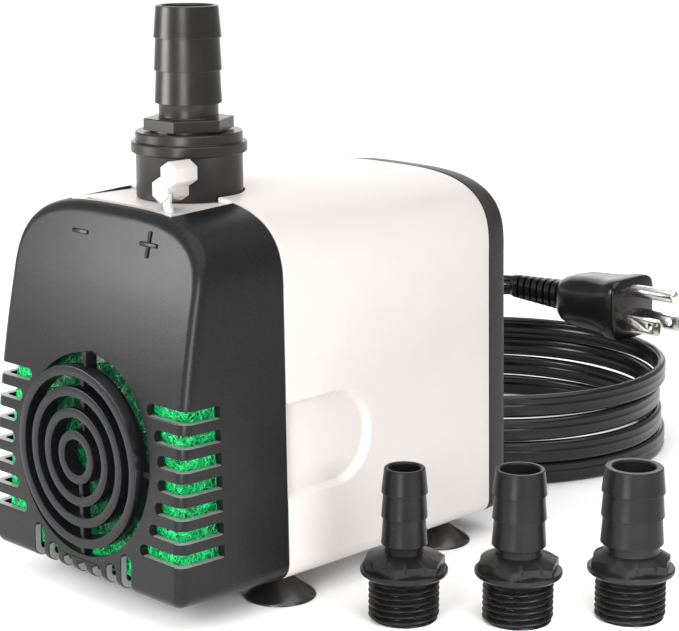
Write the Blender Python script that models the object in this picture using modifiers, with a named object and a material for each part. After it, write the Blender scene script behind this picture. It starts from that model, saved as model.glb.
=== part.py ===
"""Fountain submersible pump: body, strainer cover, motor, impeller, outlet, cord with plug, spare adapters.

Dimensions below are in millimetres and the helpers turn them into metres. X is the pump's width, Y its
depth with the strainer at -Y, and Z is up. The origin is on the floor under the middle of the body.
"""

import math

import bmesh
import bpy
from mathutils import Matrix, Vector

MM = 0.001
GAP = 0.3

# Body: a box with a crowned top, drawn in by the draft of the moulds at both ends.
HALF_LENGTH = 70.5
HALF_WIDTH = 46.0
HALF_WIDTH_HIGH = 44.2
BASE_Z = 7.6
SHOULDER_Z = 92.0
CROWN_Z = 119.0
CROWN_POWER = 3.2
BOTTOM_RADIUS = 6.0
SIDE_STEPS = 6
COVER_SEAM_Y = -29.8
HOUSING_FRONT_Y = COVER_SEAM_Y + GAP
HOUSING_REAR_Y = 60.8
REAR_COVER_Y = HOUSING_REAR_Y + GAP
FRONT_DRAFT = 1.2
REAR_DRAFT = 1.0
FRONT_LEAN = 15.0
FRONT_EDGE_RADIUS = 3.6
REAR_EDGE_RADIUS = 3.5
COVER_WALL = 2.5
HOUSING_WALL = 4.2
MOTOR_WALL_Y = (-8.0, -5.5)

# Strainer: round grille, wrapped side slots and slots under the grille.
GRILLE_Z = 45.3
GRILLE_OPENING = 29.8
RING_RADII = ((5.3, 8.1), (11.8, 14.7), (18.1, 21.0), (24.3, 27.2))
RING_FRONT_Y = -71.6
RING_DEPTH = 5.0
BAR_Y = (-68.5, -67.0)
FILTER_SETBACK = 0.2
FILTER_BACK_Y = -53.6
SLOT_COUNT = 7
SLOT_Z = 43.8
SLOT_PITCH = 6.75
SLOT_HEIGHT = 3.6
SLOT_END_RADIUS = 33.6
SLOT_REAR_Y = -54.2
LOW_SLOT_PITCH = 6.8
LOW_SLOT_WIDTH = 4.5
LOW_SLOT_REACH = 32.2
NOTCH_HALF_WIDTH = 23.0
NOTCH_FRONT_Y = -53.3

# Motor and impeller, all on one axis along Y.
AXIS_Z = 46.0
SHAFT_RADIUS = 1.5
MAGNET_RADIUS = 10.9
WELL_RADIUS = 12.5
WELL_END_Y = 22.0
CHAMBER_RADIUS = 24.0
CHAMBER_Y = (-46.1, -10.2)
IMPELLER_RADIUS = 17.0
RUNNING_GAP = 0.06

# Outlet: collar, gasket and hose adapter on a vertical axis.
OUTLET_Y = -26.1
COLLAR_RADIUS = 15.9
COLLAR_Z = (117.3, 136.6)
THREAD_RADIUS = 10.3
HEX_RADIUS = 13.6
BARB_TOP_Z = 173.2
LEVER_STEM_X = (16.5, 20.8)

# Cord: flat three-core lead drawn as a round tube, a stacked coil and a moulded plug.
CORD_RADIUS = 2.5
GLAND_Z = 84.0
GLAND_END_Y = 95.0
COIL_CENTRE = (-32.0, 150.0)
COIL_RADII = (60.0, 67.5)
COIL_HEIGHT = 34.0
PLUG_REAR_X = -35.0
PLUG_Y = 199.0
PLUG_Z = 47.0

# Spare adapters: hose size, barb radius, bore radius and place on the floor.
SPARE_ADAPTERS = (
    ("spare_adapter_small", 6.7, 4.6, (74.3, -11.2)),
    ("spare_adapter_medium", 7.85, 5.7, (98.7, 10.9)),
    ("spare_adapter_large", 9.15, 6.2, (120.2, 35.8)),
)

COLOURS = {
    "charcoal_plastic": ((0.045, 0.045, 0.047), 0.55, 0.0),
    "white_plastic": ((0.87, 0.84, 0.81), 0.35, 0.0),
    "black_plastic": ((0.035, 0.034, 0.033), 0.4, 0.0),
    "lever_white": ((0.9, 0.89, 0.88), 0.4, 0.0),
    "rubber": ((0.03, 0.03, 0.03), 0.6, 0.0),
    "filter_green": ((0.03, 0.55, 0.2), 0.9, 0.0),
    "iron": ((0.35, 0.35, 0.36), 0.45, 0.9),
    "copper": ((0.72, 0.35, 0.16), 0.35, 1.0),
    "nylon": ((0.75, 0.72, 0.62), 0.5, 0.0),
    "resin": ((0.05, 0.045, 0.04), 0.3, 0.0),
    "ferrite": ((0.09, 0.09, 0.1), 0.5, 0.2),
    "ceramic": ((0.85, 0.84, 0.8), 0.25, 0.0),
    "cord_black": ((0.012, 0.012, 0.013), 0.3, 0.0),
    "brass": ((0.8, 0.72, 0.5), 0.25, 1.0),
}


def clear_scene():
    for item in list(bpy.data.objects):
        bpy.data.objects.remove(item, do_unlink=True)


def make_collection(name):
    collection = bpy.data.collections.new(name)
    bpy.context.scene.collection.children.link(collection)
    return collection


clear_scene()
PARTS = make_collection("fountain_pump")
CUTTERS = make_collection("cutters")


# ---------------------------------------------------------------- helpers


def material(slot, name):
    colour, roughness, metallic = COLOURS[slot]
    made = bpy.data.materials.new(name)
    made.use_nodes = True
    shader = made.node_tree.nodes["Principled BSDF"]
    shader.inputs["Base Color"].default_value = (*colour, 1.0)
    shader.inputs["Roughness"].default_value = roughness
    shader.inputs["Metallic"].default_value = metallic
    return made


def add_object(name, data, slot=None):
    """Links a mesh or curve: a part when it has a material slot, and a cutter when it has none."""
    item = bpy.data.objects.new(name, data)
    if slot is None:
        CUTTERS.objects.link(item)
        item.hide_render = True
        item.display_type = "WIRE"
    else:
        PARTS.objects.link(item)
        item.data.materials.append(material(slot, name))
    return item


def mesh_from(bm, name):
    bmesh.ops.recalc_face_normals(bm, faces=bm.faces[:])
    mesh = bpy.data.meshes.new(name)
    bm.to_mesh(mesh)
    bm.free()
    return mesh


def add_box(bm, x_range, y_range, z_range, turn=None):
    size = Vector((x_range[1] - x_range[0], y_range[1] - y_range[0], z_range[1] - z_range[0]))
    centre = Vector((sum(x_range), sum(y_range), sum(z_range))) / 2
    place = Matrix.Translation(centre * MM) @ Matrix.Diagonal((*(size * MM), 1.0))
    bmesh.ops.create_cube(bm, size=1.0, matrix=(turn or Matrix.Identity(4)) @ place)


def boxes(name, ranges, slot=None):
    bm = bmesh.new()
    for x_range, y_range, z_range in ranges:
        add_box(bm, x_range, y_range, z_range)
    return add_object(name, mesh_from(bm, name), slot)


def box(name, x_range, y_range, z_range, slot=None):
    return boxes(name, [(x_range, y_range, z_range)], slot)


def axis_turn(axis):
    """Turns a shape made along +Z so that it runs along the given axis."""
    return Vector((0, 0, 1)).rotation_difference(Vector(axis)).to_matrix().to_4x4()


def cylinder(name, radius, start, end, slot=None, segments=48):
    start, end = Vector(start) * MM, Vector(end) * MM
    bm = bmesh.new()
    place = Matrix.Translation((start + end) / 2) @ axis_turn((end - start).normalized())
    bmesh.ops.create_cone(
        bm, cap_ends=True, segments=segments, radius1=radius * MM, radius2=radius * MM,
        depth=(end - start).length, matrix=place,
    )
    return add_object(name, mesh_from(bm, name), slot)


def turned(name, profile, centre, slot=None, axis=(0, 0, 1), steps=40):
    """A closed (radius, height) profile, outer side first from top to bottom, spun about an axis."""
    mesh = bpy.data.meshes.new(name)
    points = [(radius * MM, 0.0, height * MM) for radius, height in profile]
    edges = [(i, (i + 1) % len(points)) for i in range(len(points))]
    if profile[0][0] == 0 and profile[-1][0] == 0:
        edges.pop()
    mesh.from_pydata(points, edges, [])
    item = add_object(name, mesh, slot)
    screw = item.modifiers.new("turn", "SCREW")
    screw.axis = "Z"
    screw.steps = steps
    screw.render_steps = steps
    screw.use_merge_vertices = True
    screw.merge_threshold = 0.00001
    item.matrix_world = Matrix.Translation(Vector(centre) * MM) @ axis_turn(axis)
    return item


def plate(name, outline, depth_range, slot=None, axis="Y"):
    """A flat outline given as (across, up) points, extruded along Y or X."""
    middle, half = sum(depth_range) / 2, (depth_range[1] - depth_range[0]) / 2
    curve = bpy.data.curves.new(name, "CURVE")
    curve.dimensions = "2D"
    curve.fill_mode = "BOTH"
    curve.extrude = half * MM
    spline = curve.splines.new("POLY")
    spline.points.add(len(outline) - 1)
    for point, (across, up) in zip(spline.points, outline):
        point.co = (across * MM, up * MM, 0.0, 1.0)
    spline.use_cyclic_u = True
    flat = bpy.data.objects.new(name + "_outline", curve)
    CUTTERS.objects.link(flat)
    if axis == "Y":
        place = Matrix.Translation((0, middle * MM, 0)) @ Matrix.Rotation(math.pi / 2, 4, "X")
    else:
        upright = Matrix(((0, 0, 1, 0), (1, 0, 0, 0), (0, 1, 0, 0), (0, 0, 0, 1)))
        place = Matrix.Translation((middle * MM, 0, 0)) @ upright
    return curve_to_part(flat, name, place, slot)


def curve_to_part(curve_object, name, place, slot):
    """Makes a curve object a closed mesh object at the given place and removes the curve."""
    bpy.context.view_layer.update()
    graph = bpy.context.evaluated_depsgraph_get()
    mesh = bpy.data.meshes.new_from_object(curve_object.evaluated_get(graph))
    mesh.name = name
    mesh.materials.clear()
    bm = bmesh.new()
    bm.from_mesh(mesh)
    bmesh.ops.remove_doubles(bm, verts=bm.verts[:], dist=0.00001)
    bmesh.ops.recalc_face_normals(bm, faces=bm.faces[:])
    bm.to_mesh(mesh)
    bm.free()
    bpy.data.objects.remove(curve_object, do_unlink=True)
    made = add_object(name, mesh, slot)
    made.matrix_world = place
    return made


def boolean(target, tool, operation):
    modifier = target.modifiers.new(operation.lower() + "_" + tool.name, "BOOLEAN")
    modifier.operation = operation
    modifier.solver = "EXACT"
    modifier.object = tool
    return target


def cut(target, *tools):
    for tool in tools:
        boolean(target, tool, "DIFFERENCE")
    return target


def join(target, *tools):
    for tool in tools:
        boolean(target, tool, "UNION")
    return target


def loft(name, loops, slot=None):
    """Joins loops of matching points. A loop lists the right half upwards, and the left half mirrors it."""
    bm = bmesh.new()
    rows = []
    for loop in loops:
        right = [bm.verts.new(Vector(point) * MM) for point in loop]
        left = [bm.verts.new(Vector((-x, y, z)) * MM) for x, y, z in loop[:-1]]
        rows.append(right + left[::-1])
    for near, far in zip(rows, rows[1:]):
        for i in range(len(near)):
            j = (i + 1) % len(near)
            bm.faces.new((near[i], near[j], far[j], far[i]))
    top = len(loops[0]) - 1
    for row in (rows[0], rows[-1]):
        for i in range(top - 1):
            bm.faces.new((row[i], row[i + 1], row[-2 - i], row[-1 - i]))
        bm.faces.new((row[top - 1], row[top], row[top + 1]))
    return add_object(name, mesh_from(bm, name), slot)


# ---------------------------------------------------------------- body outline


def body_half(inset, crown_z=CROWN_Z, base_z=BASE_Z):
    """Right half of the body's cross-section, from the underside up to the crown, drawn in by inset."""
    wide, high = HALF_WIDTH - inset, HALF_WIDTH_HIGH - inset
    base, crown = base_z + inset, crown_z - inset
    radius = max(BOTTOM_RADIUS - inset, 1.5)
    points = [
        (
            wide - radius + radius * math.sin(math.radians(a)),
            base + radius - radius * math.cos(math.radians(a)),
        )
        for a in range(0, 91, 18)
    ]
    foot, shoulder = base + radius, min(SHOULDER_Z, crown - 12)
    for step in range(1, SIDE_STEPS):
        share = step / SIDE_STEPS
        points.append((wide + (high - wide) * share, foot + (shoulder - foot) * share))
    for a in range(0, 91, 6):
        across = math.cos(math.radians(a)) ** (2 / CROWN_POWER) if a < 90 else 0.0
        rise = math.sin(math.radians(a)) ** (2 / CROWN_POWER)
        points.append((high * across, shoulder + (crown - shoulder) * rise))
    return points


def front_y(z):
    """The front face is upright near the floor and leans back further up."""
    return -HALF_LENGTH + FRONT_LEAN * max((z - BASE_Z) / (CROWN_Z - BASE_Z), 0.0) ** 2


def front_loops(inset, back_y, radius, setback=0.0, **limits):
    """Loops from the back plane to the leaning front face, with a rounded edge round the face."""
    loops = [[(x, back_y, z) for x, z in body_half(inset, **limits)]]
    for angle in range(0, 91, 18):
        turn = math.radians(angle)
        narrow = inset + FRONT_DRAFT + radius * (1 - math.cos(turn))
        depth = inset + setback + radius * (1 - math.sin(turn))
        loops.append([(x, front_y(z) + depth, z) for x, z in body_half(narrow, **limits)])
    return loops


def rear_loops(inset, front, back, radius):
    """Loops from the rear seam to the flat back face, with a rounded edge round the face."""
    base_z = BASE_Z - REAR_DRAFT
    loops = [[(x, front, z) for x, z in body_half(inset + REAR_DRAFT, base_z=base_z)]]
    for angle in range(0, 91, 30):
        turn = math.radians(angle)
        narrow = inset + REAR_DRAFT + 0.5 + radius * (1 - math.cos(turn))
        depth = radius * (1 - math.sin(turn))
        loops.append([(x, back - depth, z) for x, z in body_half(narrow, base_z=base_z)])
    return loops


# ---------------------------------------------------------------- body shells


def make_front_cover():
    cover = loft("front_cover", front_loops(0.0, COVER_SEAM_Y, FRONT_EDGE_RADIUS), "charcoal_plastic")
    hollow = loft(
        "front_cover_hollow", front_loops(COVER_WALL, COVER_SEAM_Y + 2, FRONT_EDGE_RADIUS - COVER_WALL)
    )
    notch = box(
        "front_cover_notch",
        (-NOTCH_HALF_WIDTH, NOTCH_HALF_WIDTH),
        (NOTCH_FRONT_Y, COVER_SEAM_Y + 2),
        (105, 125),
    )
    eye = cylinder("grille_opening", GRILLE_OPENING, (0, -76, GRILLE_Z), (0, -58, GRILLE_Z), segments=64)
    cut(cover, hollow, notch, eye, side_slots(), low_slots())
    join(cover, grille())


def side_slots():
    ranges = []
    for i in range(SLOT_COUNT):
        z = SLOT_Z + (i - SLOT_COUNT // 2) * SLOT_PITCH
        reach = math.sqrt(SLOT_END_RADIUS**2 - (z - SLOT_Z) ** 2)
        for side in (1, -1):
            x_range = sorted((side * reach, side * (HALF_WIDTH + 5)))
            z_range = (z - SLOT_HEIGHT / 2, z + SLOT_HEIGHT / 2)
            ranges.append((x_range, (-HALF_LENGTH - 5, SLOT_REAR_Y), z_range))
    return boxes("side_slots", ranges)


def low_slots():
    ranges = []
    for i in range(SLOT_COUNT):
        x = (i - SLOT_COUNT // 2) * LOW_SLOT_PITCH
        top = GRILLE_Z - math.sqrt(LOW_SLOT_REACH**2 - x**2)
        half = LOW_SLOT_WIDTH / 2
        ranges.append(((x - half, x + half), (-HALF_LENGTH - 5, -63.0), (BASE_Z - 3, top)))
    return boxes("low_slots", ranges)


def radial_bars(name, bars, width):
    """Bars given as (angle, inner and outer radius, front and back Y) round the grille's centre."""
    bm = bmesh.new()
    for angle, reach, y_range in bars:
        turn = Matrix.Translation((0, 0, GRILLE_Z * MM)) @ Matrix.Rotation(-math.radians(angle), 4, "Y")
        add_box(bm, reach, y_range, (-width / 2, width / 2), turn)
    return add_object(name, mesh_from(bm, name))


def grille():
    """Four raised rings on four bars; a deeper foot holds the upper bar where the face leans away."""
    bars = radial_bars("grille_bars", [(angle, (7.0, 32.0), BAR_Y) for angle in (0, 180)] + [
        (90, (7.0, 24.0), BAR_Y), (270, (7.0, 30.8), (-70.0, -67.3)),
    ], 1.8)
    join(bars, radial_bars("grille_foot", [(90, (22.5, 30.9), (-67.4, -63.2))], 2.2))
    for number, (inner, outer) in enumerate(RING_RADII):
        profile = [(outer, RING_DEPTH), (outer, 0), (inner, 0), (inner, RING_DEPTH)]
        centre = (0, RING_FRONT_Y, GRILLE_Z)
        ring = turned(f"grille_ring_{number}", profile, centre, axis=(0, 1, 0), steps=48)
        join(bars, ring)
    return bars


def make_filter_sponge():
    inset = COVER_WALL + FRONT_DRAFT + 0.6
    loops = front_loops(inset, FILTER_BACK_Y, 2.0, FILTER_SETBACK, crown_z=78.0 + inset)
    loft("filter_sponge", loops, "filter_green")


def make_motor_housing():
    shell = loft(
        "motor_housing",
        [
            [(x, HOUSING_FRONT_Y, z) for x, z in body_half(0.0)],
            [(x, HOUSING_REAR_Y, z) for x, z in body_half(REAR_DRAFT, base_z=BASE_Z - REAR_DRAFT)],
        ],
        "white_plastic",
    )
    skirt = loft(
        "housing_skirt_hollow",
        [[(x, y, z) for x, z in body_half(HOUSING_WALL)] for y in (HOUSING_FRONT_Y - 2, MOTOR_WALL_Y[0])],
    )
    motor_bay = loft(
        "housing_motor_bay",
        [[(x, y, z) for x, z in body_half(HOUSING_WALL)] for y in (MOTOR_WALL_Y[1], HOUSING_REAR_Y + 2)],
    )
    bore = cylinder("housing_bore", WELL_RADIUS + GAP, (0, -10, AXIS_Z), (0, -4, AXIS_Z))
    riser = cylinder("housing_riser_notch", COLLAR_RADIUS + 0.5, (0, OUTLET_Y, 100), (0, OUTLET_Y, 125))
    front = box("housing_riser_front", (-16.4, 16.4), (HOUSING_FRONT_Y - 2, OUTLET_Y), (100, 125))
    cut(shell, skirt, motor_bay, bore, join(riser, front), finger_recess(1), finger_recess(-1))


def finger_recess(side):
    """A shallow grip with a round end that starts at the cover's seam."""
    radius, mid_z, end_y = 14.5, 47.5, -9.0
    outline = [(HOUSING_FRONT_Y - 3, mid_z + radius), (HOUSING_FRONT_Y - 3, mid_z - radius)]
    for angle in range(-90, 91, 15):
        turn = math.radians(angle)
        outline.append((end_y + radius * math.cos(turn), mid_z + radius * math.sin(turn)))
    x_range = sorted((side * 43.4, side * 50.0))
    return plate(f"finger_recess_{'right' if side > 0 else 'left'}", outline, x_range, axis="X")


def make_rear_cover():
    loops = rear_loops(0.0, REAR_COVER_Y, HALF_LENGTH, REAR_EDGE_RADIUS)
    cover = loft("rear_cover", loops, "charcoal_plastic")
    hollow = loft("rear_cover_hollow", rear_loops(3.0, REAR_COVER_Y - 2, HALF_LENGTH - 3, 1.0))
    hole = cylinder("rear_cover_hole", 6.3, (0, 60, GLAND_Z), (0, 75, GLAND_Z))
    cut(cover, hollow, hole)


def make_suction_cups():
    """A hollow rubber cone with a stud that pushes up into the housing's underside."""
    profile = [
        (3.2, BASE_Z - GAP), (3.4, 6.2), (10.7, 1.0), (11.0, 0.0),
        (10.2, 0.0), (9.6, 0.7), (2.5, 5.0), (0.0, 5.0), (0.0, BASE_Z - GAP),
    ]
    for name, x, y in (
        ("suction_cup_front_right", 35.5, -24.0), ("suction_cup_front_left", -35.5, -24.0),
        ("suction_cup_rear_right", 35.0, 46.0), ("suction_cup_rear_left", -35.0, 46.0),
    ):
        cup = [profile[-1], *profile[:-1]]
        turned(name, cup, (x, y, 0), "rubber", steps=24)


# ---------------------------------------------------------------- motor and impeller


def make_rotor_well():
    profile = [
        (WELL_RADIUS, WELL_END_Y + 8.6), (WELL_RADIUS, 5.2), (17.0, 5.2), (17.0, 3.7), (WELL_RADIUS, 3.7),
        (WELL_RADIUS, 0.0), (11.5, 0.0), (11.5, WELL_END_Y + 7.0), (0.0, WELL_END_Y + 7.0),
        (0.0, WELL_END_Y + 8.6),
    ]
    turned("rotor_well", [profile[-1], *profile[:-1]], (0, -8.6, AXIS_Z), "nylon", axis=(0, 1, 0))


def make_stator():
    core = box("stator_core", (-27, 27), (-1, 46), (32, 60), "iron")
    window = box("stator_window", (-13, 13), (24, 36), (20, 70))
    bore = cylinder("stator_bore", WELL_RADIUS + 0.4, (0, -3, AXIS_Z), (0, 30, AXIS_Z))
    split = box("stator_split", (-4, 4), (-3, 24.5), (20, 70))
    flange = cylinder("stator_flange_relief", 17.4, (0, -6, AXIS_Z), (0, 0.4, AXIS_Z))
    cut(core, window, bore, split, flange)
    for name, side in (("left", -1), ("right", 1)):
        spool = box(f"coil_bobbin_{name}", span(side, 11.7, 28.3), (24.3, 35.7), (30.7, 61.3), "nylon")
        ends = [(span(side, 5.5, 34.5), y_range, (24.5, 67.5)) for y_range in ((24.3, 25.3), (34.7, 35.7))]
        leg = box(f"bobbin_leg_{name}", span(side, 12.7, 27.3), (20, 40), (31.7, 60.3))
        cut(join(spool, boxes(f"bobbin_flanges_{name}", ends)), leg)
        winding = box(f"stator_coil_{name}", span(side, 6, 34), (25.6, 34.4), (25, 67), "copper")
        cut(winding, box(f"coil_hole_{name}", span(side, 11.4, 28.6), (20, 40), (30.4, 61.6)))


def span(side, near, far):
    return (near, far) if side > 0 else (-far, -near)


def make_potting_resin():
    loops = [[(x, y, z) for x, z in body_half(HOUSING_WALL + 0.4)] for y in (49.0, 59.5)]
    hole = cylinder("resin_hole", 6.0, (0, 40, GLAND_Z), (0, 70, GLAND_Z))
    cut(loft("potting_resin", loops, "resin"), hole)


def make_rotor():
    hub_bore = SHAFT_RADIUS + RUNNING_GAP
    magnet = [(MAGNET_RADIUS, 25.5), (MAGNET_RADIUS, 0.0), (hub_bore, 0.0), (hub_bore, 25.5)]
    turned("rotor_magnet", magnet, (0, -8.0, AXIS_Z), "ferrite", axis=(0, 1, 0))
    hub = [
        (4.5, 34.0), (4.5, 7.5), (IMPELLER_RADIUS, 7.5), (IMPELLER_RADIUS, 6.0),
        (4.5, 6.0), (4.0, 0.0), (hub_bore, 0.0), (hub_bore, 34.0),
    ]
    impeller = turned("impeller", hub, (0, -42.5, AXIS_Z), "nylon", axis=(0, 1, 0))
    bm = bmesh.new()
    for blade in range(6):
        turn = (
            Matrix.Translation((0, 0, AXIS_Z * MM)) @ Matrix.Rotation(math.radians(60 * blade), 4, "Y")
            @ Matrix.Translation((0, 0, 3.2 * MM)) @ Matrix.Rotation(math.radians(20), 4, "Y")
        )
        add_box(bm, (-0.7, 0.7), (-42.0, -36.0), (0.0, 13.0), turn)
    join(impeller, add_object("impeller_blades", mesh_from(bm, "impeller_blades")))


def make_shaft():
    cylinder("rotor_shaft", SHAFT_RADIUS, (0, -48.3, AXIS_Z), (0, 19.9, AXIS_Z), "ceramic")
    bush = [(3.0, 2.2), (3.0, 0.0), (SHAFT_RADIUS + 0.1, 0.0), (SHAFT_RADIUS + 0.1, 2.2)]
    turned("shaft_bush_front", bush, (0, -49.0, AXIS_Z), "rubber", axis=(0, 1, 0), steps=32)
    turned("shaft_bush_rear", bush, (0, 18.0, AXIS_Z), "rubber", axis=(0, 1, 0), steps=32)


def make_pump_chamber():
    chamber = cylinder(
        "pump_chamber",
        CHAMBER_RADIUS,
        (0, CHAMBER_Y[0], AXIS_Z),
        (0, CHAMBER_Y[1], AXIS_Z),
        "white_plastic",
    )
    riser = cylinder("chamber_riser", 14.5, (0, OUTLET_Y, AXIS_Z), (0, OUTLET_Y, 117.0))
    deck = box("chamber_deck", (-22.5, 22.5), (-52.8, HOUSING_FRONT_Y - 0.4), (114.6, 117.0))
    rotor_room = cylinder("chamber_room", 19.0, (0, -48, AXIS_Z), (0, -20, AXIS_Z))
    neck = cylinder("chamber_neck", 11.6, (0, -24, AXIS_Z), (0, -8, AXIS_Z))
    outlet = cylinder("chamber_outlet", 9.5, (0, OUTLET_Y, AXIS_Z + 4), (0, OUTLET_Y, 120))
    slot = box("lever_slot", (-18.2, 21.2), (-51.4, -49.2), (110, 120))
    cut(join(chamber, riser, deck), rotor_room, neck, outlet, slot)
    angles = [math.radians(d) for d in range(0, -360, -45)]
    ring = [(19.6 + 0.9 * math.cos(a), 0.9 * math.sin(a)) for a in angles]
    turned("chamber_seal", ring, (0, -9.1, AXIS_Z), "rubber", axis=(0, 1, 0), steps=32)


def make_chamber_cover():
    """The suction plate: a round eye with three arms that carry the front bush."""
    y_range = (-49.2, -46.4)
    cover = cylinder(
        "chamber_cover", CHAMBER_RADIUS, (0, y_range[0], AXIS_Z), (0, y_range[1], AXIS_Z), "nylon"
    )
    eye = cylinder("suction_eye", 9.0, (0, -52, AXIS_Z), (0, -44, AXIS_Z))
    hub = cylinder("bush_hub", 5.0, (0, y_range[0], AXIS_Z), (0, y_range[1], AXIS_Z))
    bm = bmesh.new()
    for arm in range(3):
        turn = Matrix.Translation((0, 0, AXIS_Z * MM)) @ Matrix.Rotation(math.radians(120 * arm), 4, "Y")
        add_box(bm, (-0.8, 0.8), y_range, (4.0, 10.0), turn)
    arms = add_object("bush_arms", mesh_from(bm, "bush_arms"))
    bush_hole = cylinder("bush_hole", 3.2, (0, -52, AXIS_Z), (0, -44, AXIS_Z))
    cut(cover, eye)
    join(cover, arms, hub)
    cut(cover, bush_hole)


# ---------------------------------------------------------------- outlet


def make_outlet_collar():
    low, top = COLLAR_Z
    bore = THREAD_RADIUS + 0.4
    profile = [
        (16.0, top), (16.0, 134.0), (17.3, 133.6), (17.3, 130.6), (COLLAR_RADIUS, 130.2),
        (COLLAR_RADIUS, low), (bore, low), (bore, top),
    ]
    turned("outlet_collar", profile, (0, OUTLET_Y, 0), "black_plastic", steps=48)


def hexagon(name, radius, x, y, z_range):
    """A hexagon round a vertical axis, with two of its corners on the X line."""
    corners = [(x + radius * math.cos(math.radians(60 * i)), y + radius * math.sin(math.radians(60 * i)))
               for i in range(6)]
    bm = bmesh.new()
    low, high = [[bm.verts.new(Vector((*corner, z)) * MM) for corner in corners] for z in z_range]
    for row in (low, high):
        bm.faces.new(row)
    for i in range(6):
        j = (i + 1) % 6
        bm.faces.new((low[i], low[j], high[j], high[i]))
    return add_object(name, mesh_from(bm, name))


def barb_profile(radius, edges, top, foot):
    """A solid hose tail from its mouth down: barbs that widen downwards to each edge, then a neck."""
    neck = radius - 1.0
    points = [(0.0, top), (radius - 0.8, top)]
    for edge in edges:
        points += [(radius, edge + 0.3), (neck, edge)]
    return points + [(neck, foot), (0.0, foot)]


def make_outlet_adapter():
    low = COLLAR_Z[1] + 0.5
    profile = barb_profile(10.0, (163.9, 154.4, 144.8), BARB_TOP_Z, 124.0)
    adapter = turned("outlet_adapter", profile, (0, OUTLET_Y, 0), "black_plastic", steps=48)
    flats = hexagon("adapter_hex", HEX_RADIUS, 0.0, OUTLET_Y, (low, 140.5))
    thread = cylinder("adapter_thread", THREAD_RADIUS, (0, OUTLET_Y, 123.0), (0, OUTLET_Y, low + 1.0))
    bore = cylinder("adapter_bore", 7.6, (0, OUTLET_Y, 118), (0, OUTLET_Y, 180), segments=48)
    cut(join(adapter, flats, thread), bore)
    washer = [(11.5, 0.4), (11.5, 0.0), (THREAD_RADIUS + 0.3, 0.0), (THREAD_RADIUS + 0.3, 0.4)]
    turned("outlet_gasket", washer, (0, OUTLET_Y, COLLAR_Z[1] + 0.05), "rubber", steps=48)


def make_flow_lever():
    """A knob of two stacked hexagonal lobes on a stem, with a shutter plate below in front of the eye."""
    left, right = LEVER_STEM_X
    lobes = plate("flow_lever", six_sides(20.2, 128.0, 3.8), (-51.6, -43.4), "lever_white")
    lower = plate("lever_lower_lobe", six_sides(16.4, 123.2, 3.8), (-51.6, -43.4))
    stem = box("lever_stem", (left, right), (-51.0, -49.6), (110.0, 122.0))
    outline = [
        (left, 113), (right, 113), (right, 98), (41.0, 62), (41.0, 34), (18.5, 34), (18.5, 62), (left, 92),
    ]
    shutter = plate("lever_shutter", outline[::-1], (-51.0, -49.6))
    join(lobes, lower, stem, shutter)


def six_sides(x, z, radius):
    """A hexagon with a point at the top, as (across, up) points."""
    turns = [math.radians(90 + 60 * i) for i in range(6)]
    return [(x + radius * math.cos(a), z + radius * math.sin(a)) for a in turns]


def make_spare_adapters():
    """Loose hose adapters with other hose sizes, standing on their threads on the floor."""
    for name, barb, bore, (x, y) in SPARE_ADAPTERS:
        profile = barb_profile(barb, (38.0, 30.8, 22.8), 45.4, 10.0)
        adapter = turned(name, profile, (x, y, 0), "black_plastic", steps=32)
        flange = [
            (0, 15.5), (12.7, 15.5), (12.7, 14.0), (10.8, 12.6), (THREAD_RADIUS, 12.6),
            (THREAD_RADIUS, 0), (0, 0),
        ]
        foot = turned(name + "_foot", flange, (x, y, 0), steps=32)
        flats = hexagon(name + "_hex", 12.4, x, y, (15.0, 18.4))
        hole = cylinder(name + "_hole", bore, (x, y, -5), (x, y, 60), segments=32)
        cut(join(adapter, foot, flats), hole)


# ---------------------------------------------------------------- cord


def smooth_path(points, count):
    """Reads evenly spaced points from a smooth curve through the route's own points."""
    route = [Vector(point) for point in points]
    ends = [2 * route[0] - route[1], *route, 2 * route[-1] - route[-2]]
    fine = []
    for i in range(1, len(ends) - 2):
        p0, p1, p2, p3 = ends[i - 1:i + 3]
        for step in range(20):
            t = step / 20
            fine.append(
                0.5 * (2 * p1 + (p2 - p0) * t + (2 * p0 - 5 * p1 + 4 * p2 - p3) * t**2
                       + (3 * p1 - p0 - 3 * p2 + p3) * t**3)
            )
    fine.append(route[-1])
    lengths = [0.0]
    for a, b in zip(fine, fine[1:]):
        lengths.append(lengths[-1] + (b - a).length)
    spaced, i = [], 0
    for step in range(count):
        want = lengths[-1] * step / (count - 1)
        while i < len(fine) - 2 and lengths[i + 1] < want:
            i += 1
        share = (want - lengths[i]) / (lengths[i + 1] - lengths[i])
        spaced.append(fine[i].lerp(fine[i + 1], share))
    return spaced


def tube(name, points, count, radius=CORD_RADIUS):
    curve = bpy.data.curves.new(name, "CURVE")
    curve.dimensions = "3D"
    curve.bevel_depth = radius * MM
    curve.bevel_resolution = 2
    curve.use_fill_caps = True
    path = smooth_path(points, count)
    spline = curve.splines.new("POLY")
    spline.points.add(len(path) - 1)
    for point, place in zip(spline.points, path):
        point.co = (*(place * MM), 1.0)
    add_object(name, curve, "cord_black")


LEAD_ROUTE = (
    (0, GLAND_END_Y + GAP, 84), (-2, 108, 82), (-11, 121, 71), (-25, 131, 53), (-40, 139, 34),
    (-55, 147, 17), (-68, 157, 6), (-76, 170, 3.2), (-78, 183, 4.0),
)
TAIL_ROUTE = (
    (-95.6, 150, 36.9), (-95.3, 161, 37.3), (-92.2, 174, 38.6), (-86, 184.5, 41), (-77, 193.2, 44.2),
    (-69, 197.9, 46.3), (-63.2, PLUG_Y, PLUG_Z),
)


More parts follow.
